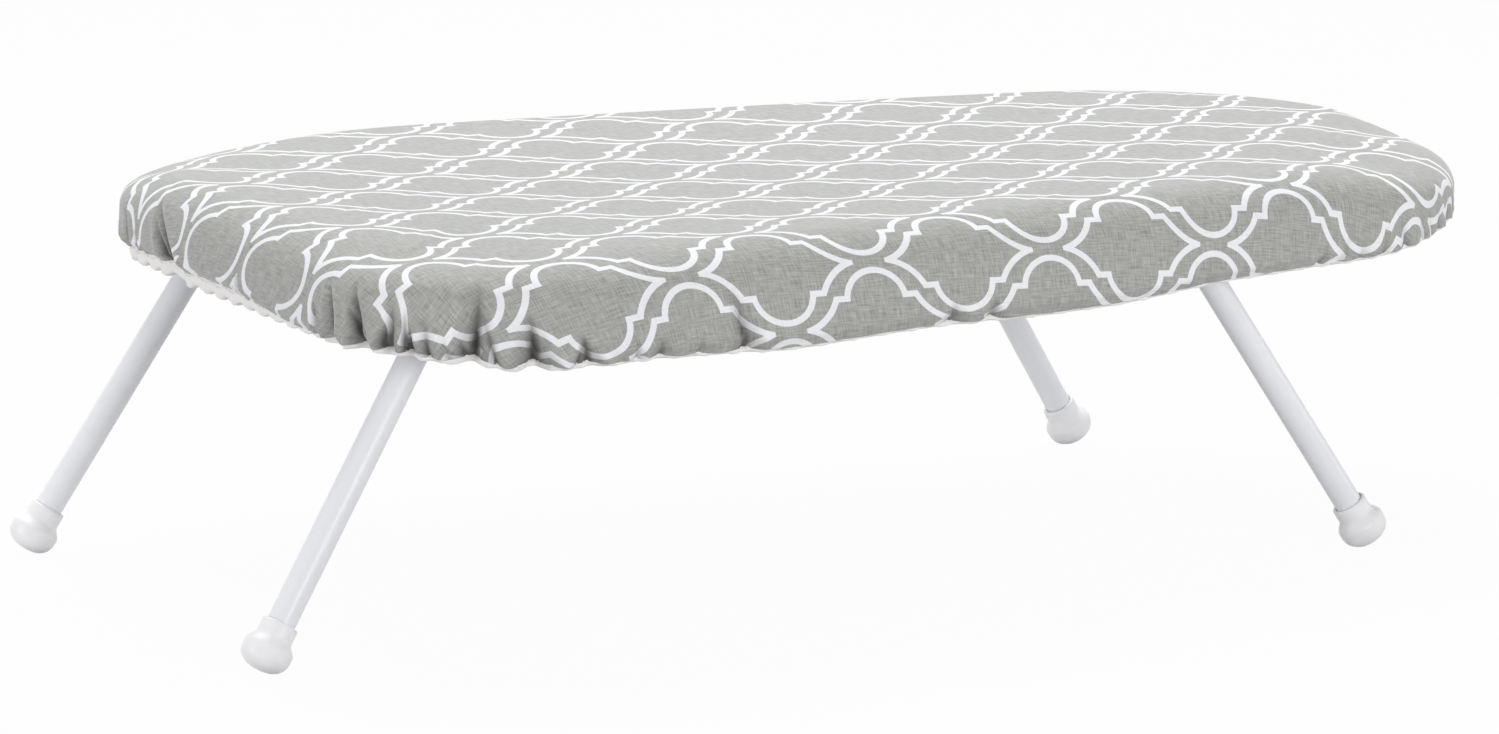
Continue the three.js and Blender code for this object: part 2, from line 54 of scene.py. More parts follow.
def linear(colour):
    channels = [int(colour[i:i + 2], 16) / 255 for i in (1, 3, 5)]
    return [c / 12.92 if c <= 0.04045 else ((c + 0.055) / 1.055) ** 2.4 for c in channels] + [1]


def add(tree, kind, inputs=None, **settings):
    made = tree.nodes.new(kind)
    for name, value in settings.items():
        setattr(made, name, value)
    for socket, value in (inputs or {}).items():
        if isinstance(value, bpy.types.NodeSocket):
            tree.links.new(value, made.inputs[socket])
        else:
            made.inputs[socket].default_value = value
    return made


def new_finish(name, colour, values):
    material = bpy.data.materials.new(name)
    material.use_nodes = True
    tree = material.node_tree
    shader = tree.nodes["Principled BSDF"]
    shader.inputs["Base Color"].default_value = linear(colour)
    for socket, value in values.items():
        shader.inputs[socket].default_value = value
    return material, tree, shader


def dress(node, material):
    mesh = frame["nodes"][node].data
    mesh.materials.clear()
    mesh.materials.append(material)


# Polyester powder coat: half gloss, with the faint orange peel of melted powder, about 2 mm across
powder_coat, tree, shader = new_finish(
    "white powder coat", "#eeeef0", {"Roughness": 0.4, "Coat Weight": 0.1, "Coat Roughness": 0.2})
object_place = add(tree, "ShaderNodeTexCoord").outputs["Object"]
peel = add(tree, "ShaderNodeTexNoise", {"Vector": object_place, "Scale": 1 / 0.002, "Detail": 2})
handling = add(tree, "ShaderNodeTexNoise", {"Vector": object_place, "Scale": 1 / 0.03, "Detail": 4})
tint = add(tree, "ShaderNodeMix", {0: handling.outputs[0], 6: linear("#e9eaee"), 7: linear("#f2f3f6")},
           data_type="RGBA")
gloss = add(tree, "ShaderNodeMapRange", {0: handling.outputs[0], 1: 0.3, 2: 0.7, 3: 0.34, 4: 0.46})
relief = add(tree, "ShaderNodeBump", {"Height": peel.outputs[0], "Strength": 0.05, "Distance": 0.0001})
tree.links.new(tint.outputs[2], shader.inputs["Base Color"])
tree.links.new(gloss.outputs[0], shader.inputs["Roughness"])
tree.links.new(relief.outputs[0], shader.inputs["Normal"])
dress("mesh_panel", powder_coat)

# Rim: strip steel rolled to an angle and closed round the board, with a lip along its lower edge.
# Spot-welded under the expanded top and powder-coated with it.
dress("rim_frame", powder_coat)

# Hinge plates: pressed strip steel, bright zinc plated, riveted under the steel top at each end.
# Their turned-down ears stop the open legs.
ENDS = ("blunt", "nose")

# Bright zinc: cloudy crystals about 6 mm across that shift the gloss
zinc_plate, tree, shader = new_finish("bright zinc plate", "#b4b7ba", {"Metallic": 1.0, "Roughness": 0.36})
object_place = add(tree, "ShaderNodeTexCoord").outputs["Object"]
spangle = add(tree, "ShaderNodeTexVoronoi", {"Vector": object_place, "Scale": 1 / 0.006})
cloud = add(tree, "ShaderNodeTexNoise", {"Vector": object_place, "Scale": 1 / 0.012, "Detail": 5})
shine = add(tree, "ShaderNodeMapRange", {0: spangle.outputs["Color"], 3: 0.28, 4: 0.44})
tone = add(tree, "ShaderNodeMix", {0: cloud.outputs[0], 6: linear("#a6a9ad"), 7: linear("#c2c4c6")},
           data_type="RGBA")
tree.links.new(shine.outputs[0], shader.inputs["Roughness"])
tree.links.new(tone.outputs[2], shader.inputs["Base Color"])
for end in ENDS:
    dress(f"{end}_hinge_plate", zinc_plate)

# Saddle straps: two on each hinge plate, pressed from the same zinc-plated strip. They are riveted
# through the plate and hold the crossbar up against it.
SIDES = ("near", "far")
for end in ENDS:
    for side in SIDES:
        dress(f"{end}_saddle_{side}", zinc_plate)

# Rivets: eight zinc-plated mushroom heads under the saddle flanges, their shanks up through strap,
# plate and steel top, set over a snap.
RIVETS = [f"{end}_rivet_{side}_{row}" for end in ENDS for side in SIDES for row in ("inner", "outer")]
RIVET_HEAD_HEIGHT = 0.0018
RIVET_SHANK_DIAMETER = 0.0048


def new_mesh_piece(name, points, faces, material, edges=()):
    mesh = bpy.data.meshes.new(name)
    mesh.from_pydata(np.reshape(points, (-1, 3)).tolist(), edges, faces)
    if material:
        mesh.materials.append(material)
    mesh.shade_smooth()
    piece = bpy.data.objects.new(name, mesh)
    bpy.context.scene.collection.objects.link(piece)
    return piece


def new_pattern(name, sizes):
    tree = bpy.data.node_groups.new(name, "GeometryNodeTree")
    tree.interface.new_socket("Geometry", in_out="INPUT", socket_type="NodeSocketGeometry")
    tree.interface.new_socket("Geometry", in_out="OUTPUT", socket_type="NodeSocketGeometry")
    for label in sizes:
        tree.interface.new_socket(label, in_out="INPUT", socket_type="NodeSocketFloat")
    return tree, add(tree, "NodeGroupInput").outputs


def settle(piece, tree, sizes):
    modifier = piece.modifiers.new(tree.name, "NODES")
    modifier.node_group = tree
    for item in tree.interface.items_tree:
        if item.name in sizes:
            modifier[item.identifier] = sizes[item.name]
    evaluated = piece.evaluated_get(bpy.context.evaluated_depsgraph_get())
    piece.data = bpy.data.meshes.new_from_object(evaluated)
    piece.modifiers.clear()
    piece.data.shade_smooth()


low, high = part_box(RIVETS[0])
rivet_sizes = {"Head diameter": high.x - low.x, "Head height": RIVET_HEAD_HEIGHT,
               "Shank diameter": RIVET_SHANK_DIAMETER, "Shank length": high.z - low.z - RIVET_HEAD_HEIGHT}
rivet_tree, sizes = new_pattern("rivets", rivet_sizes)
ball = add(rivet_tree, "GeometryNodeMeshUVSphere", {"Segments": 24, "Rings": 16, "Radius": 0.5})
twice_head = add(rivet_tree, "ShaderNodeMath", {0: sizes["Head height"], 1: 2.0}, operation="MULTIPLY")
girth = add(rivet_tree, "ShaderNodeCombineXYZ", {
    0: sizes["Head diameter"], 1: sizes["Head diameter"], 2: twice_head.outputs[0]})
head = add(rivet_tree, "GeometryNodeTransform", {"Geometry": ball.outputs[0], "Scale": girth.outputs[0]})
shank_radius = add(rivet_tree, "ShaderNodeMath", {0: sizes["Shank diameter"], 1: 0.5}, operation="MULTIPLY")
shank = add(rivet_tree, "GeometryNodeMeshCylinder", {
    "Vertices": 20, "Depth": sizes["Shank length"], "Radius": shank_radius.outputs[0]})
half_shank = add(rivet_tree, "ShaderNodeMath", {0: sizes["Shank length"], 1: 0.5}, operation="MULTIPLY")
upright = add(rivet_tree, "GeometryNodeTransform", {
    "Geometry": shank.outputs[0],
    "Translation": add(rivet_tree, "ShaderNodeCombineXYZ", {2: half_shank.outputs[0]}).outputs[0]})
rivet = add(rivet_tree, "GeometryNodeJoinGeometry")
rivet_tree.links.new(head.outputs[0], rivet.inputs[0])
rivet_tree.links.new(upright.outputs[0], rivet.inputs[0])
set_rivets = add(rivet_tree, "GeometryNodeInstanceOnPoints", {
    "Points": add(rivet_tree, "GeometryNodeMeshToPoints", {0: sizes["Geometry"]}).outputs[0],
    "Instance": rivet.outputs[0]})
plated = add(rivet_tree, "GeometryNodeSetMaterial", {
    "Geometry": add(rivet_tree, "GeometryNodeRealizeInstances", {0: set_rivets.outputs[0]}).outputs[0],
    "Material": zinc_plate})
add(rivet_tree, "NodeGroupOutput", {0: plated.outputs[0]})
rivet_boxes = [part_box(name) for name in RIVETS]
seats = [((low.x + high.x) / 2, (low.y + high.y) / 2, low.z + RIVET_HEAD_HEIGHT)
         for low, high in rivet_boxes]
rivets = new_mesh_piece("rivets", seats, [], None)
settle(rivets, rivet_tree, rivet_sizes)
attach(rivets, "board")
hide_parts(*RIVETS)

# Leg frames: one length of half-inch steel tube for each end, bent twice so that the crossbar is the
# hinge axle, and powder-coated white. The bare ends are pushed into the feet.
TUBE_RADIUS = 0.00635
TUBE_BORE_RADIUS = 0.00535
TUBE_SIDES = 40
LEG_SPLAY = math.radians(32.4)
LEG_FLARE = math.radians(5.3)
LEG_BEND_RADIUS = 0.018
CROSSBAR_WIDTH = 0.238
HINGES = {joint["child"].split("_")[0]: np.array(joint["pos_m"]) for joint in frame["joints"]}
FOOT_AXLE_HEIGHT = 0.00953
LEG_DROP = (HINGES["nose"][2] - FOOT_AXLE_HEIGHT) / math.cos(LEG_SPLAY)
LEG_END_OFFSET = CROSSBAR_WIDTH / 2 + LEG_DROP * math.tan(LEG_FLARE)


def ring_faces(rows, columns, closed=False):
    faces = []
    for row in range(rows if closed else rows - 1):
        lower = (row + 1) % rows * columns
        for i in range(columns):
            j = (i + 1) % columns
            faces.append((row * columns + i, lower + i, lower + j, row * columns + j))
    return faces


def open_leg(points, end):
    # From the leg frame's own plane (x outboard, y across, z up from the axle) to the open stand
    x, y, z = np.moveaxis(np.asarray(points, float), -1, 0)
    sine, cosine = math.sin(LEG_SPLAY), math.cos(LEG_SPLAY)
    outboard, up = x * cosine - z * sine, x * sine + z * cosine
    facing = 1 if end == "nose" else -1
    return np.stack([facing * outboard, facing * y, up], -1) + HINGES[end]


def tube_line():
    turn = math.pi / 2 - LEG_FLARE
    start = CROSSBAR_WIDTH / 2 - LEG_BEND_RADIUS * math.tan(turn / 2)
    angle = np.linspace(0, turn, 17)
    half = np.stack([start + LEG_BEND_RADIUS * np.sin(angle), LEG_BEND_RADIUS * (np.cos(angle) - 1)], -1)
    straight = np.linspace(half[-1], (LEG_END_OFFSET, -LEG_DROP), 12)[1:]
    half = np.concatenate([half, straight])
    return np.concatenate([half[::-1] * (-1, 1), half])


def tube_rings(radius, middles, runs):
    angle = np.linspace(0, 2 * math.pi, TUBE_SIDES, endpoint=False)[None, :]
    return np.stack([np.broadcast_to(radius * np.sin(angle), (len(middles), TUBE_SIDES)),
                     middles[:, :1] - runs[:, 1:] * radius * np.cos(angle),
                     middles[:, 1:] + runs[:, :1] * radius * np.cos(angle)], -1)


line = tube_line()
run = np.gradient(line, axis=0)
run /= np.linalg.norm(run, axis=1, keepdims=True)
# Round the cut end, along the outside, and back through the bore
tube = np.concatenate([tube_rings(TUBE_BORE_RADIUS, line[:1], run[:1]), tube_rings(TUBE_RADIUS, line, run),
                       tube_rings(TUBE_BORE_RADIUS, line[::-1], run[::-1])])
for end in ENDS:
    leg = new_mesh_piece(f"{end}_leg_tube", open_leg(tube, end),
                         ring_faces(len(tube), TUBE_SIDES), powder_coat)
    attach(leg, f"{end}_legs")
    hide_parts(f"{end}_leg_frame")

# Feet: injection-moulded soft plastic, a collar over the tube end and a round knob that is pressed
# slightly flat where it stands. A fine parting line runs round the knob.
KNOB_RADIUS = 0.0112
KNOB_DOME = 0.0087
# 2 would make the dome an ellipse; a higher value makes its end flatter
DOME_FULLNESS = 2.4
PARTING_BOTTOM = 0.0008
PARTING_TOP = 0.0014
PARTING_BEAD = 0.00004
SHOULDER_LENGTH = 0.0057
COLLAR_RADIUS = 0.00815
COLLAR_TOP = 0.0132
FOOT_SIDES = 56

# Satin polyethylene: waxy, slightly translucent, with a fine moulded grain of about half a millimetre
satin_plastic, tree, shader = new_finish(
    "satin white plastic", "#f3f3f6",
    {"Roughness": 0.42, "IOR": 1.5, "Subsurface Weight": 0.15, "Subsurface Radius": (0.004, 0.004, 0.004)})
object_place = add(tree, "ShaderNodeTexCoord").outputs["Object"]
grain = add(tree, "ShaderNodeTexNoise", {"Vector": object_place, "Scale": 1 / 0.0006, "Detail": 3})
scuffs = add(tree, "ShaderNodeTexNoise", {
    "Vector": object_place, "Scale": 1 / 0.006, "Detail": 6, "Distortion": 1.0})
wear = add(tree, "ShaderNodeMapRange", {0: scuffs.outputs[0], 1: 0.35, 2: 0.7, 3: 0.36, 4: 0.52})
relief = add(tree, "ShaderNodeBump", {"Height": grain.outputs[0], "Strength": 0.12, "Distance": 0.0001})
tree.links.new(wear.outputs[0], shader.inputs["Roughness"])
tree.links.new(relief.outputs[0], shader.inputs["Normal"])

# Half of the foot's section, as radius and height on the tube's axis, from the knob's end upwards
quarter = np.linspace(0, math.pi / 2, 15)
dome = np.stack([KNOB_RADIUS * np.sin(quarter) ** (2 / DOME_FULLNESS),
                 -KNOB_DOME * np.clip(np.cos(quarter), 0, 1) ** (2 / DOME_FULLNESS)], -1)
parting = np.array([(KNOB_RADIUS, PARTING_BOTTOM), (KNOB_RADIUS + PARTING_BEAD, 0.001),
                    (KNOB_RADIUS + PARTING_BEAD, 0.0012), (KNOB_RADIUS, PARTING_TOP)])
ease = np.linspace(0, 1, 10)[1:]
shoulder = np.stack([KNOB_RADIUS + (COLLAR_RADIUS - KNOB_RADIUS) * (1 - np.cos(ease * math.pi)) / 2,
                     PARTING_TOP + SHOULDER_LENGTH * ease], -1)
collar = np.array([(COLLAR_RADIUS, 0.0079), (COLLAR_RADIUS, 0.0124), (COLLAR_RADIUS - 0.0002, 0.0129),
                   (COLLAR_RADIUS - 0.0007, COLLAR_TOP), (0.0067, COLLAR_TOP), (0.00662, 0.0097)])
profile = np.concatenate([dome, parting, shoulder, collar])
angle = np.linspace(0, 2 * math.pi, FOOT_SIDES, endpoint=False)[None, :]
knob = np.stack([profile[:, :1] * np.cos(angle), profile[:, :1] * np.sin(angle),
                 np.broadcast_to(profile[:, 1:], (len(profile), FOOT_SIDES))], -1)
for end in ENDS:
    for side in SIDES:
        across = (-1 if side == "near" else 1) * (1 if end == "nose" else -1)
        lean = across * LEG_FLARE
        x, y, z = np.moveaxis(knob, -1, 0)
        leaning = np.stack([x, y * math.cos(lean) - z * math.sin(lean) + across * LEG_END_OFFSET,
                            y * math.sin(lean) + z * math.cos(lean) - LEG_DROP], -1)
        standing = open_leg(leaning, end)
        standing[..., 2] = np.maximum(standing[..., 2], 0)
        foot = new_mesh_piece(f"{end}_foot_cap_{side}", standing,
                              ring_faces(len(profile), FOOT_SIDES), satin_plastic)
        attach(foot, f"{end}_legs")
        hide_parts(f"{end}_foot_{side}")

# Pad: a slab of grey needle felt, 12 mm thick, cut to the board's outline and pressed round along its
# upper edge. The cover alone holds it down on the steel top.
BOARD_MIDDLE = 0.02554
BOARD_LENGTH = 0.608
BOARD_WIDTH = 0.388
CORNER_LENGTH = 0.15
CORNER_WIDTH = 0.076
NOSE_LENGTH = 0.1
NOSE_WIDTH = 0.292
SIDE_BOW = 0.004
END_BOW = 0.003
STAND_HEIGHT = 0.178
# The rolled edge: its depth, its least width, what the near side and the pull of the elastic add to
# that, how far the pull lowers it, how far it stands out past the outline, and its squareness
EDGE_DEPTH = 0.022
ROLL_WIDTH = 0.016
NEAR_ROLL = 0.008
PULLED_ROLL = 0.018
PULLED_SINK = 0.006
SIDE_SWELL = 0.002
NOSE_SWELL = 0.001
SQUARENESS = 0.83
SINK_SPAN = (0.5, 1.3)
PAD_INSET = 0.0018
PAD_THICKNESS = 0.012


def bend(points, count):
    t = np.linspace(0, 1, count)[:, None]
    order = len(points) - 1
    return sum(math.comb(order, i) * (1 - t) ** (order - i) * t ** i * np.array(p)
               for i, p in enumerate(points))


def smooth_step(x, start, stop):
    t = np.clip((x - start) / (stop - start), 0, 1)
    return t * t * (3 - 2 * t)


def blur_round(values, share):
    # Evens a quantity out along the edge, over this share of the way round to each side
    reach = int(len(values) * share)
    weights = np.hanning(2 * reach + 1)
    around = np.concatenate([values[-reach:], values, values[:reach]])
    return np.convolve(around, weights / weights.sum(), "valid")


def board_outline(count):
    # Places round the board at even steps from the tip of the nose, with the way out from each, the
    # distance walked, how tightly the edge turns there, and how far that pull spreads
    tip = BOARD_LENGTH / 2
    nose_start = np.array([tip - NOSE_LENGTH, NOSE_WIDTH / 2])
    shoulder = np.array([CORNER_LENGTH - tip, BOARD_WIDTH / 2])
    corner_end = np.array([END_BOW - tip, BOARD_WIDTH / 2 - CORNER_WIDTH])
    along = (shoulder - nose_start) / np.linalg.norm(shoulder - nose_start)
    outward = np.array([along[1], -along[0]])
    # With this share a cubic bend follows a quarter of an ellipse
    round_off = 0.5523
    nose = [(tip, 0), (tip, NOSE_WIDTH / 2 * round_off),
            nose_start - along * NOSE_LENGTH * round_off, nose_start]
    side = [nose_start, (nose_start + shoulder) / 2 + outward * 2 * SIDE_BOW, shoulder]
    corner = [shoulder, shoulder + along * CORNER_LENGTH * round_off,
              (corner_end[0], corner_end[1] + CORNER_WIDTH * round_off), corner_end]
    end = [corner_end, (-tip, corner_end[1] / 2), (-tip, 0)]
    half = np.concatenate([bend(piece, 600)[:-1] for piece in (nose, side, corner, end)])
    whole = np.concatenate([half, [(-tip, 0)], half[:0:-1] * (1, -1), [(tip, 0)]])
    steps = np.concatenate([[0], np.cumsum(np.linalg.norm(np.diff(whole, axis=0), axis=1))])
    walked = np.linspace(0, steps[-1], count, endpoint=False)
    place = np.stack([np.interp(walked, steps, whole[:, i]) for i in (0, 1)], -1)
    way = np.roll(place, -1, 0) - np.roll(place, 1, 0)
    way /= np.linalg.norm(way, axis=1, keepdims=True)
    out = np.stack([way[:, 1], -way[:, 0]], -1)
    turning = np.gradient(np.unwrap(np.arctan2(way[:, 1], way[:, 0])), walked)
    tightness = smooth_step(blur_round(turning, 0.02), 3, 9)
    return place + (BOARD_MIDDLE, 0), out, walked, tightness, blur_round(tightness, 0.035)


def spine(place):
    # The line down the middle of the board that rows of the top start from
    middle = np.clip(place[:, 0] - BOARD_MIDDLE, -0.16, 0.2) + BOARD_MIDDLE
    return np.stack([middle, np.zeros(len(place))], -1)


def padded_rows(place, out, softness, inset, thickness, flat_rows, roll_rows):
    # Rows over the top and down the rolled edge, as far as the thickness. The elastic pulls the edge
    # wider and lower at the near corner and the nose. The second list lays the same rows out flat.
    x, y = place[:, :1] - BOARD_MIDDLE, place[:, 1:]
    near = 1 - smooth_step(y, -0.05, 0.06)
    pulled = np.maximum(softness[:, None], 0.75 * smooth_step(x, 0.2, 0.28))
    pulled *= np.maximum(near, 0.9 - 0.75 * smooth_step(x, -0.1, 0.1))
    roll, sink = ROLL_WIDTH + NEAR_ROLL * near + PULLED_ROLL * pulled, PULLED_SINK * pulled
    swell = SIDE_SWELL - (SIDE_SWELL - NOSE_SWELL) * smooth_step(x, 0.1, 0.25)
    top = STAND_HEIGHT - inset
    middle = spine(place)
    start = place - out * (inset + roll)
    rows, flats = [], []
    for share in np.linspace(0, 1, flat_rows, endpoint=False):
        flats.append(middle + (start - middle) * share)
        rows.append(np.column_stack([flats[-1], top - sink * smooth_step(share, *SINK_SPAN)]))
    covered = 0
    for turn in np.linspace(0, math.pi / 2, roll_rows):
        # A little squarer than an ellipse, to clear the edge of the steel top
        reach, rest = math.sin(turn) ** SQUARENESS, math.cos(turn) ** SQUARENESS
        sunk = sink * smooth_step(1 + 0.5 * reach, *SINK_SPAN) * rest ** 2
        here = np.column_stack([start + out * (roll + swell) * reach, top - EDGE_DEPTH * (1 - rest) - sunk])
        if turn:
            step = here - rows[-1]
            # Where the edge is pulled low, the row stops at the underside
            step *= np.clip((top - thickness - rows[-1][:, 2:]) / step[:, 2:], 0, 1)
            here = rows[-1] + step
            covered = covered + np.linalg.norm(step, axis=1)[:, None]
        rows.append(here)
        flats.append(start + out * covered)
    return rows, flats


def weld(piece):
    work = bmesh.new()
    work.from_mesh(piece.data)
    bmesh.ops.remove_doubles(work, verts=work.verts, dist=1e-6)
    work.to_mesh(piece.data)
    work.free()


# Needle felt: matted grey fibres a few millimetres long, no gloss
felt, tree, shader = new_finish("grey needle felt", "#c4c1ba", {"Roughness": 0.95, "Sheen Weight": 0.3})
object_place = add(tree, "ShaderNodeTexCoord").outputs["Object"]
fibres = add(tree, "ShaderNodeTexNoise", {
    "Vector": object_place, "Scale": 1 / 0.002, "Detail": 8, "Distortion": 2.0})
matting = add(tree, "ShaderNodeMix", {0: fibres.outputs[0], 6: linear("#aeaba4"), 7: linear("#d6d4ce")},
              data_type="RGBA")
relief = add(tree, "ShaderNodeBump", {"Height": fibres.outputs[0], "Strength": 0.5, "Distance": 0.0004})
tree.links.new(matting.outputs[2], shader.inputs["Base Color"])
tree.links.new(relief.outputs[0], shader.inputs["Normal"])

place, out, _, _, softness = board_outline(480)
rows, _ = padded_rows(place, out, softness, PAD_INSET, PAD_THICKNESS, 8, 9)
pad_edge = rows[-1][:, :2]
underside = np.full(len(place), STAND_HEIGHT - PAD_INSET - PAD_THICKNESS)
for share in np.linspace(1, 0, 9)[1:]:
    rows.append(np.column_stack([spine(place) + (pad_edge - spine(place)) * share, underside]))
pad = new_mesh_piece("felt_pad", rows, ring_faces(len(rows), len(place)), felt)
weld(pad)
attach(pad, "board")
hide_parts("pad")

# Cover: printed cotton cut to the outline plus its drop, pulled over the padded edge and drawn in by
# the elastic in its hem, so that it gathers at the corners and the nose and lies smooth along the sides.
RIM_BOTTOM = 0.1484
# The hem's height along the sides, and how far it rises from there, first before the nose, then at
# the nose and at the blunt end
HEM_HEIGHT = 0.1318
SIDE_RISE = 0.0045
NOSE_RISE = 0.0115
BLUNT_RISE = 0.003
HEM_WAVE = 0.0007
GATHER_LIFT = 0.3
# How far the tape shows below the print: all round, and more at the blunt end and on its far half
TAPE_SHOW = 0.0012
BLUNT_SHOW = 0.0006
FAR_SHOW = 0.0046
COVER_FLAT_ROWS = 9
COVER_ROLL_ROWS = 17
SKIRT_ROWS = 28
# The turned hem inside the cover: heights of its rows from the hem, how far in each lies from the one
# before, and the cloth it takes
TURN_HEIGHTS = (-0.0004, 0.0006, 0.004)
TURN_INSET = 0.0007
TURN_CLOTH = 0.0015

# Main gathers of the blunt end and the near side, as they sit in the photo: distance round the edge
# from the nose, half width, depth at the hem, height above it, lean
MAIN_GATHERS = (
    (0.785, 0.009, 0.0030, 0.022, -0.5), (0.793, 0.013, 0.0045, 0.030, -0.6),
    (0.869, 0.005, 0.0025, 0.012, 0.0), (0.949, 0.006, 0.0035, 0.015, 0.1),
    (0.966, 0.010, 0.0055, 0.026, 0.0), (0.988, 0.010, 0.0065, 0.027, -0.1),
    (1.004, 0.007, 0.0045, 0.021, 0.1), (1.014, 0.005, 0.0050, 0.012, 0.0),
    (1.041, 0.013, 0.0080, 0.034, 0.1), (1.067, 0.013, 0.0075, 0.023, -0.1),
    (1.090, 0.008, 0.0045, 0.013, -0.2), (1.123, 0.008, 0.0022, 0.010, 0.0),
    (1.166, 0.011, 0.0030, 0.030, -0.38), (1.273, 0.010, 0.0025, 0.010, 0.0),
    (1.295, 0.007, 0.0030, 0.010, 0.0))


def print_repeats(flat):
    # Repeats of the print along and across the board. The cloth was pulled askew over the pad, which
    # bows the rows, and once more over the blunt end; beyond the far edge the rows run straight.
    x, y = (flat[..., 0] - BOARD_MIDDLE) / 0.1, flat[..., 1] / 0.1
    bow = np.clip(y, -2.3, 1.5) ** 2
    end = np.maximum(-2.7 - x, 0)
    along = (0.54 + 1.02 * x + 0.0292 * y + (0.0087 * x - 0.0094) * x ** 2 +
             (0.0047 * x ** 2 - 0.0101 * bow) * bow + 0.28 * end ** 2)
    across = (0.262 + 1.541 * y - 0.217 * x + (0.017 * x - 0.0423) * x ** 2 +
              (0.0159 * x ** 2 + 0.022 * x + 0.0129 * bow - 0.156) * bow +
              (0.233 * bow - 0.666 * end) * end)
    return np.stack([along, across], -1)


whole = board_outline(3420)
length_round = 2 * whole[2][-1] - whole[2][-2]
x = whole[0][:, 0] - BOARD_MIDDLE
# Columns stand 2 mm apart along the sides and close up to half a millimetre at the main gathers
near_corner = smooth_step(-np.abs(whole[2] - 1.02), -0.12, -0.09)
closeness = 0.24 + 0.3 * smooth_step(np.abs(x), 0.2, 0.25) + 0.46 * near_corner
kept = np.flatnonzero(np.diff(np.floor(np.cumsum(closeness)), prepend=-1) > 0)
place, out, walked, tightness, softness = (part[kept] for part in whole)
x, y = place[:, 0] - BOARD_MIDDLE, place[:, 1]

# Small gathers stand between the main ones, closer where the edge turns and shallower at the nose
chance = np.random.default_rng(5)
gathers = list(MAIN_GATHERS)
at = 0.0
while at < walked[-1]:
    pull = np.interp(at, walked, np.maximum(tightness, 0.8 * smooth_step(x, 0.11, 0.18)))
    at += 0.006 + 0.009 * chance.random() + 0.03 * (1 - pull)
    nose = smooth_step(np.interp(at, walked, x), 0.15, 0.22)
    width = 0.004 + 0.003 * chance.random()
    depth = (0.0003 + (0.0025 - 0.0015 * nose) * pull) * (0.4 + chance.random())
    height = 0.007 + 0.014 * chance.random()
    lean = 0.8 * (chance.random() - 0.5)
    gathers.append((at, width, depth, height, lean))


def round_from(at):
    return (walked - at + length_round / 2) % length_round - length_round / 2


show = TAPE_SHOW + (BLUNT_SHOW + FAR_SHOW * smooth_step(y, -0.08, 0.01)) * smooth_step(-x, 0.27, 0.3)
lift = sum(GATHER_LIFT * depth * np.exp(-(round_from(at) / width / 0.7) ** 2)
           for at, width, depth, height, lean in gathers)
wave = np.sin(walked / 0.047 + 2.0 * np.sin(walked / 0.061)) + 0.6 * np.sin(walked / 0.021 + 1.4)
hem = (HEM_HEIGHT + SIDE_RISE * smooth_step(x, 0.05, 0.13) + NOSE_RISE * smooth_step(x, 0.18, 0.3) +
       (BLUNT_RISE + show) * smooth_step(-x, 0.235, 0.302) + lift - HEM_WAVE * wave)
rows, flats = padded_rows(place, out, softness, 0, EDGE_DEPTH, COVER_FLAT_ROWS, COVER_ROLL_ROWS)
side_top = rows[-1]
way_down = np.linalg.norm(flats[-1] - place, axis=1)
slack = 1 - 0.9 * smooth_step(x, 0.15, 0.25)
for t in np.linspace(0, 1, SKIRT_ROWS + 1)[1:]:
    z = side_top[:, 2] + (hem - side_top[:, 2]) * t
    drawn_in = (0.002 * smooth_step(t, 0, 1.6) + 0.003 * smooth_step(t, 0.7, 1.0) ** 2) * slack
    rows.append(np.column_stack([side_top[:, :2] - out * drawn_in[:, None], z]))
    flats.append(place + out * (way_down + side_top[:, 2] - z)[:, None])
# Painted shade for the creases: one value for each point of each row, read by the cloth's material
painted_crease_shades = [np.zeros(len(place)) for row in rows]
way = np.stack([-out[:, 1], out[:, 0]], -1)
for row, flat, painted_crease_shade in zip(*(part[COVER_FLAT_ROWS:] for part in (rows, flats, painted_crease_shades))):
    above = row[:, 2] - hem
    reach, taken_up = np.zeros((2, len(place)))
    for at, width, depth, height, lean in gathers:
        away = round_from(at + above * lean)
        grown = np.clip(1 - above / height, 0, 1)
        spread = np.abs(away) / (width * (0.3 + 0.7 * grown))
        # A soft flute to each side, a valley between them, and a narrow slit along its bottom
        flute = 0.45 * np.exp(-((spread - 1.1) / 0.5) ** 2) * (1 + 0.35 * np.sign(away))
        valley = 0.55 * np.clip(1 - spread, 0, 1) ** 1.4
        slit = 0.6 * np.clip(1 - np.abs(away) / (0.0012 + 0.14 * width), 0, 1)
        reach += depth * grown ** 1.1 * (flute - valley - slit)
        taken_up += 0.35 * depth * grown * np.sign(away) * np.exp(-spread / 1.5)
        # Painted shade: the slit and the valley of each gather darken the cloth's colour, most near the hem
        # of the deeper gathers
        painted_crease_shade += min(depth / 0.0035, 1) * grown * (1.3 * slit + 1.6 * valley)
    # No gather reaches in as far as the rim
    past = np.sum((row[:, :2] - place) * out, axis=1)
    deepest = np.minimum(past, -0.0012 - 0.007 * smooth_step(RIM_BOTTOM - row[:, 2], 0, 0.006))
    row[:, :2] += out * (np.maximum(past + reach, deepest) - past)[:, None]
    flat += way * taken_up[:, None]
for up in TURN_HEIGHTS:
    turned = rows[-1].copy()
    turned[:, :2] -= out * TURN_INSET
    turned[:, 2] = hem + up
    rows.append(turned)
    flats.append(flats[-1] + out * TURN_CLOTH)
    painted_crease_shades.append(painted_crease_shades[-1])

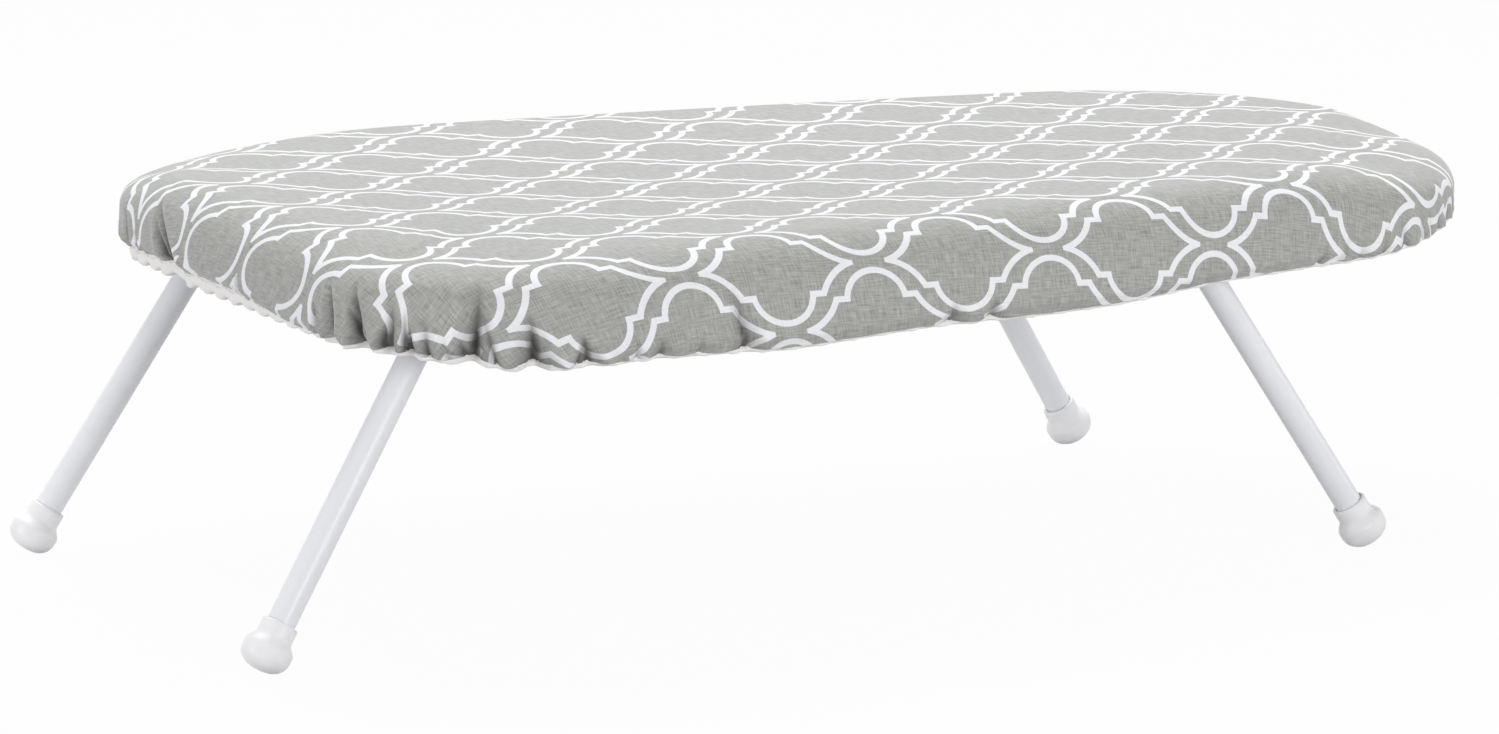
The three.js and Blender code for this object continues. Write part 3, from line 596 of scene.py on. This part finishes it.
# Printed cotton: grey heathered ground with thread slubs some millimetres long, a white pigment print
# with crisp edges, and the soft bloom of fibre ends when seen along the surface. One repeat of the
# print is 95.4 mm along the board and 64.7 mm across it.
PRINT_REPEAT_MM = (95.4, 64.7, 0)
cotton, tree, shader = new_finish(
    "printed cotton", "#a5a7a0",
    {"Roughness": 0.85, "Sheen Weight": 0.45, "Sheen Roughness": 0.4, "Specular IOR Level": 0.25})
print_place = add(tree, "ShaderNodeUVMap", uv_map="print").outputs[0]
cloth_mm = add(tree, "ShaderNodeVectorMath", {0: print_place, 1: PRINT_REPEAT_MM},
               operation="MULTIPLY").outputs[0]


def medallion(shift):
    # Distance in millimetres from the outline of the nearest barbed quatrefoil: round lobes across the
    # board, drawn-in points along it, and a square step where they meet
    lobe_middle, lobe_radius = (0, 12.5, 0), 15.3
    hollow_middle, hollow_radius = (44.7, 25, 0), 26
    step_corner = (37.9, 14.3, 0)
    moved = add(tree, "ShaderNodeVectorMath", {0: print_place, 1: (0.5 - shift, 0.5 - shift, 0)},
                operation="ADD").outputs[0]
    cell = add(tree, "ShaderNodeVectorMath", {0: moved}, operation="FRACTION").outputs[0]
    centred = add(tree, "ShaderNodeVectorMath", {0: cell, 1: (0.5, 0.5, 0)},
                  operation="SUBTRACT").outputs[0]
    sized = add(tree, "ShaderNodeVectorMath", {0: centred, 1: PRINT_REPEAT_MM},
                operation="MULTIPLY").outputs[0]
    quarter = add(tree, "ShaderNodeVectorMath", {0: sized}, operation="ABSOLUTE").outputs[0]
    to_lobe = add(tree, "ShaderNodeVectorMath", {0: quarter, 1: lobe_middle}, operation="DISTANCE")
    lobe = add(tree, "ShaderNodeMath", {0: to_lobe.outputs["Value"], 1: lobe_radius},
               operation="SUBTRACT").outputs[0]
    to_hollow = add(tree, "ShaderNodeVectorMath", {0: quarter, 1: hollow_middle}, operation="DISTANCE")
    hollow = add(tree, "ShaderNodeMath", {0: hollow_radius, 1: to_hollow.outputs["Value"]},
                 operation="SUBTRACT").outputs[0]
    to_step = add(tree, "ShaderNodeVectorMath", {0: quarter, 1: step_corner}, operation="SUBTRACT")
    beyond = add(tree, "ShaderNodeSeparateXYZ", {0: to_step.outputs[0]}).outputs
    cut_off = add(tree, "ShaderNodeMath", {0: beyond[0], 1: beyond[1]}, operation="MAXIMUM").outputs[0]
    point = add(tree, "ShaderNodeMath", {0: hollow, 1: cut_off}, operation="MAXIMUM").outputs[0]
    shape = add(tree, "ShaderNodeMath", {0: lobe, 1: point}, operation="MINIMUM").outputs[0]
    return add(tree, "ShaderNodeMath", {0: shape}, operation="ABSOLUTE").outputs[0]


nearest = add(tree, "ShaderNodeMath", {0: medallion(0), 1: medallion(0.5)}, operation="MINIMUM").outputs[0]
# Lines 3.1 mm wide, with 0.2 mm of bleed into the threads
ink = add(tree, "ShaderNodeMapRange", {0: nearest, 1: 1.65, 2: 1.45, 3: 0.0, 4: 1.0}).outputs[0]
# The wrong side of the cloth is plain
wrong_side = add(tree, "ShaderNodeNewGeometry").outputs["Backfacing"]
ink = add(tree, "ShaderNodeMath", {0: ink, 1: wrong_side}, operation="SUBTRACT", use_clamp=True).outputs[0]
# Slubs about 8 mm long and three quarters of a millimetre thick
along_threads = add(tree, "ShaderNodeVectorMath", {0: cloth_mm, 1: (0.12, 1.35, 1)}, operation="MULTIPLY")
cross_threads = add(tree, "ShaderNodeVectorMath", {0: cloth_mm, 1: (1.35, 0.12, 1)}, operation="MULTIPLY")
weft = add(tree, "ShaderNodeTexNoise", {"Vector": along_threads.outputs[0], "Scale": 1.0, "Detail": 4})
warp = add(tree, "ShaderNodeTexNoise", {"Vector": cross_threads.outputs[0], "Scale": 1.0, "Detail": 4})
threads = add(tree, "ShaderNodeMath", {0: weft.outputs[0], 1: warp.outputs[0]}, operation="ADD").outputs[0]
heather = add(tree, "ShaderNodeMapRange", {0: threads, 1: 0.7, 2: 1.3, 3: 0.0, 4: 1.0}).outputs[0]
ground = add(tree, "ShaderNodeMix", {0: heather, 6: linear("#90918e"), 7: linear("#bfc0bc")},
             data_type="RGBA")
inked = add(tree, "ShaderNodeMix", {0: heather, 6: linear("#ecedf2"), 7: linear("#f8f8fc")},
            data_type="RGBA")
cloth = add(tree, "ShaderNodeMix", {0: ink, 6: ground.outputs[2], 7: inked.outputs[2]}, data_type="RGBA")
painted_shade_amount = add(tree, "ShaderNodeAttribute", attribute_name="painted_crease_shade").outputs["Fac"]
# Painted shade: where the cloth folds on itself, its colour is darkened towards a deep grey, standing for
# the shade that falls in the creases
shaded = add(tree, "ShaderNodeMapRange", {0: painted_shade_amount, 3: 0.0, 4: 0.85}).outputs[0]
cloth = add(tree, "ShaderNodeMix", {0: shaded, 6: cloth.outputs[2], 7: linear("#3e3d3a")}, data_type="RGBA")
raised = add(tree, "ShaderNodeMath", {0: ink, 1: 0.6, 2: threads}, operation="MULTIPLY_ADD")
relief = add(tree, "ShaderNodeBump", {"Height": raised.outputs[0], "Strength": 0.35, "Distance": 0.00025})
tree.links.new(cloth.outputs[2], shader.inputs["Base Color"])
tree.links.new(relief.outputs[0], shader.inputs["Normal"])

cover = new_mesh_piece("cotton_cover", rows, ring_faces(len(rows), len(place)), cotton)
repeats = print_repeats(np.concatenate(flats))
layer = cover.data.uv_layers.new(name="print")
corner_points = np.zeros(len(cover.data.loops), np.int32)
cover.data.loops.foreach_get("vertex_index", corner_points)
layer.data.foreach_set("uv", repeats[corner_points].astype(np.float32).ravel())
# The painted shade of the creases goes on the cover as a point attribute for its material
painted_crease_shade_layer = cover.data.attributes.new("painted_crease_shade", "FLOAT", "POINT")
painted_crease_shade_layer.data.foreach_set("value", np.concatenate(painted_crease_shades).astype(np.float32))
weld(cover)
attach(cover, "board")
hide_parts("cover")

# Hem binding: off-white cotton bias tape, folded into a channel for the elastic and sewn to the cover's
# edge. The elastic puckers it; it hangs below the print at the blunt end and is drawn under elsewhere.
# Rows round the channel: how far in and how far down each lies, and its share of the pucker.
TAPE_CHANNEL = (
    (0.0009, 0.0, 0.0), (0.0008, 0.25, 0.3), (0.0006, 0.5, 0.6), (0.0007, 0.75, 0.9), (0.001, 0.93, 1.0),
    (0.0018, 1.0, 0.8), (0.0035, 1.03, 0.4), (0.0055, 1.0, 0.4), (0.0068, 0.9, 0.4), (0.007, 0.5, 0.3),
    (0.0068, 0.1, 0.2), (0.0045, 0.06, 0.1), (0.002, 0.03, 0.0))
TAPE_OVERLAP = 0.002
PUCKER_DEPTH = 0.0002

# Puckers 4 to 6 mm apart, and a slower flutter of the lower edge every 15 mm
pucker = (np.sin(walked / 0.0044 * 2 * math.pi + 2.1 * np.sin(walked / 0.031)) +
          0.7 * np.sin(walked / 0.0063 * 2 * math.pi + 1.7 * np.sin(walked / 0.047)))
flutter = np.sin(walked / 0.0151 * 2 * math.pi + 2.4 * np.sin(walked / 0.083))
edge = rows[-1 - len(TURN_HEIGHTS)]
# The tape is stiffer than the print, so its lower edge runs more evenly than the gathers above it
hem_reach = np.sum((edge[:, :2] - place) * out, axis=1)
evened = out * (blur_round(hem_reach, 0.008) - hem_reach)[:, None]
tape_top = hem + TAPE_OVERLAP
tape_bottom = hem - 0.8 * lift - show - (0.0004 + 0.12 * show) * flutter
rows_tape = []
for inset, level, ripple in TAPE_CHANNEL:
    away = inset - PUCKER_DEPTH * pucker * ripple
    rows_tape.append(np.column_stack([
        edge[:, :2] + evened * smooth_step(level, 0.1, 0.8) - out * np.reshape(away, (-1, 1)),
        tape_top + (tape_bottom - tape_top) * level]))

# Cotton tape: plain weave, off-white, soft; its bump is drawn at 1 mm so that it shows
tape, tree, shader = new_finish("white cotton tape", "#f1eee9", {"Roughness": 0.9, "Sheen Weight": 0.3})
object_place = add(tree, "ShaderNodeTexCoord").outputs["Object"]
weave = add(tree, "ShaderNodeTexNoise", {"Vector": object_place, "Scale": 1 / 0.001, "Detail": 4})
shade = add(tree, "ShaderNodeMix", {0: weave.outputs[0], 6: linear("#edebea"), 7: linear("#f8f6f5")},
            data_type="RGBA")
relief = add(tree, "ShaderNodeBump", {"Height": weave.outputs[0], "Strength": 0.4, "Distance": 0.0002})
tree.links.new(shade.outputs[2], shader.inputs["Base Color"])
tree.links.new(relief.outputs[0], shader.inputs["Normal"])
binding = new_mesh_piece("bias_binding", rows_tape, ring_faces(len(rows_tape), len(place), True), tape)
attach(binding, "board")
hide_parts("hem_binding")

# Seam: a row of lockstitch in the tape's white cotton, one stitch every 3.5 mm. It is sewn through tape
# and cover, and joins them.
stitch_sizes = {"Stitch spacing": 0.0035, "Stitch length": 0.0026, "Thread diameter": 0.0005}
stitch_tree, sizes = new_pattern("stitches", stitch_sizes)
seam_line = add(stitch_tree, "GeometryNodeMeshToCurve", {0: sizes["Geometry"]})
even = add(stitch_tree, "GeometryNodeResampleCurve", {
    "Curve": seam_line.outputs[0], "Length": sizes["Stitch spacing"]}, mode="LENGTH")
aim = add(stitch_tree, "FunctionNodeAlignRotationToVector", {
    "Vector": add(stitch_tree, "GeometryNodeInputTangent").outputs[0]}, axis="X")
bead = add(stitch_tree, "GeometryNodeMeshUVSphere", {"Segments": 6, "Rings": 5, "Radius": 0.5})
shape = add(stitch_tree, "ShaderNodeCombineXYZ", {
    0: sizes["Stitch length"], 1: sizes["Thread diameter"], 2: sizes["Thread diameter"]})
sewn = add(stitch_tree, "GeometryNodeInstanceOnPoints", {
    "Points": even.outputs[0], "Instance": bead.outputs[0], "Rotation": aim.outputs[0],
    "Scale": shape.outputs[0]})
threaded = add(stitch_tree, "GeometryNodeSetMaterial", {
    "Geometry": add(stitch_tree, "GeometryNodeRealizeInstances", {0: sewn.outputs[0]}).outputs[0],
    "Material": tape})
add(stitch_tree, "NodeGroupOutput", {0: threaded.outputs[0]})
seam_rows = rows_tape[2] * 0.6 + rows_tape[1] * 0.4
seam_points = seam_rows + np.column_stack([out * 0.0002, np.zeros(len(out))])
seam_edges = [(i, (i + 1) % len(out)) for i in range(len(out))]
seam = new_mesh_piece("hem_seam", seam_points, [], None, seam_edges)
settle(seam, stitch_tree, stitch_sizes)
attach(seam, "board")

# Elastic: flat braided elastic, 2.8 mm wide and 1.2 mm thick, threaded through the channel of the
# binding. It draws the hem in under the rim and shows nowhere.
ELASTIC_INSET = 0.0042
ELASTIC_HALF_WIDTH = 0.0014
ELASTIC_HALF_THICKNESS = 0.0006
RIB_DEPTH = 0.00008
RIB_SPACING = 0.0012
elastic_height = hem - 0.0004 - 0.4 * lift - 0.5 * show
rib = RIB_DEPTH * np.sin(walked / RIB_SPACING * 2 * math.pi)
rows_elastic = []
for inward, up in ((-1, 1), (-1, -1), (1, -1), (1, 1)):
    away = ELASTIC_INSET + inward * ELASTIC_HALF_WIDTH + rib
    rows_elastic.append(np.column_stack([edge[:, :2] + evened - out * away[:, None],
                                         elastic_height + up * ELASTIC_HALF_THICKNESS]))

# Braided elastic: ribbed rubber and cotton, dull white
braid, tree, shader = new_finish("braided elastic", "#e6e2d8", {"Roughness": 0.8})
object_place = add(tree, "ShaderNodeTexCoord").outputs["Object"]
ribs = add(tree, "ShaderNodeTexNoise", {"Vector": object_place, "Scale": 1 / 0.0012, "Detail": 2})
relief = add(tree, "ShaderNodeBump", {"Height": ribs.outputs[0], "Strength": 0.5, "Distance": 0.0002})
tree.links.new(relief.outputs[0], shader.inputs["Normal"])
elastic = new_mesh_piece("hem_elastic_band", rows_elastic, ring_faces(4, len(place), True), braid)
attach(elastic, "board")
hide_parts("hem_elastic")

# Table: a plain white sweep that shows white to the camera and keeps a soft shadow under the feet. From
# below it is clear, so that the underside of the board can be looked at.
white_sweep = bpy.data.materials.new("white sweep")
white_sweep.use_nodes = True
tree = white_sweep.node_tree
tree.nodes.remove(tree.nodes["Principled BSDF"])
paper = add(tree, "ShaderNodeBsdfDiffuse", {"Color": linear("#cfcfcf")})
glow = add(tree, "ShaderNodeEmission", {"Color": (1, 1, 1, 1), "Strength": 1.0})
rays = add(tree, "ShaderNodeLightPath").outputs
seen = add(tree, "ShaderNodeMath", {0: rays["Is Camera Ray"], 1: rays["Is Glossy Ray"]},
           operation="MAXIMUM")
seen = add(tree, "ShaderNodeMath", {0: seen.outputs[0], 1: rays["Is Transmission Ray"]},
           operation="MAXIMUM")
whitened = add(tree, "ShaderNodeMath", {0: seen.outputs[0], 1: 0.97}, operation="MULTIPLY")
sweep = add(tree, "ShaderNodeMixShader", {0: whitened.outputs[0], 1: paper.outputs[0], 2: glow.outputs[0]})
underneath = add(tree, "ShaderNodeNewGeometry").outputs["Backfacing"]
sweep = add(tree, "ShaderNodeMixShader", {
    0: underneath, 1: sweep.outputs[0], 2: add(tree, "ShaderNodeBsdfTransparent").outputs[0]})
tree.links.new(sweep.outputs[0], tree.nodes["Material Output"].inputs["Surface"])
floor = new_mesh_piece("table", [(-6, -6, 0), (6, -6, 0), (6, 6, 0), (-6, 6, 0)], [(0, 1, 2, 3)],
                       white_sweep)

# Light: an even white room with a large soft lamp above and behind, one low in front, a low one on
# the left and a weaker one on the right.
world = bpy.data.worlds.new("studio")
world.use_nodes = True
bpy.context.scene.world = world
tree = world.node_tree
rays = add(tree, "ShaderNodeLightPath").outputs
seen = add(tree, "ShaderNodeMath", {0: rays["Is Camera Ray"], 1: rays["Is Glossy Ray"]},
           operation="MAXIMUM")
seen = add(tree, "ShaderNodeMath", {0: seen.outputs[0], 1: rays["Is Transmission Ray"]},
           operation="MAXIMUM")
level = add(tree, "ShaderNodeMapRange", {0: seen.outputs[0], 3: 0.42, 4: 1.0})
tree.links.new(level.outputs[0], tree.nodes["Background"].inputs["Strength"])
tree.nodes["Background"].inputs["Color"].default_value = (1, 1, 1, 1)


def soft_lamp(name, spot, size, power):
    lamp = bpy.data.lights.new(name, "AREA")
    lamp.shape = "RECTANGLE"
    lamp.size, lamp.size_y, lamp.energy = size[0], size[1], power
    holder = bpy.data.objects.new(name, lamp)
    holder.location = spot
    holder.rotation_euler = (Vector((0, 0, 0.12)) - Vector(spot)).to_track_quat("-Z", "Y").to_euler()
    bpy.context.scene.collection.objects.link(holder)


soft_lamp("overhead", (0.2, 0.9, 2.1), (1.6, 1.2), 38)
soft_lamp("front", (0.2, -2.2, 0.45), (1.2, 0.7), 17.5)
soft_lamp("left", (-2.2, 0.0, 0.3), (0.8, 0.5), 12)
soft_lamp("right", (2.2, -0.9, 0.4), (0.6, 0.6), 4)

# Camera: long lens, low and to the left of the near side
azimuth, elevation, distance = math.radians(-27.49), math.radians(10.83), 2.9573
aimed_at = Vector((-0.0588, -0.0785, 0.1))
back = Vector((math.sin(azimuth) * math.cos(elevation), -math.cos(azimuth) * math.cos(elevation),
               math.sin(elevation)))
view = bpy.data.cameras.new("view")
view.lens, view.sensor_width = 158.61, 36
camera = bpy.data.objects.new("view", view)
camera.location = aimed_at + back * distance
camera.rotation_euler = (-back).to_track_quat("-Z", "Y").to_euler()
bpy.context.scene.collection.objects.link(camera)
bpy.context.scene.camera = camera
bpy.context.scene.view_settings.view_transform = "Standard"
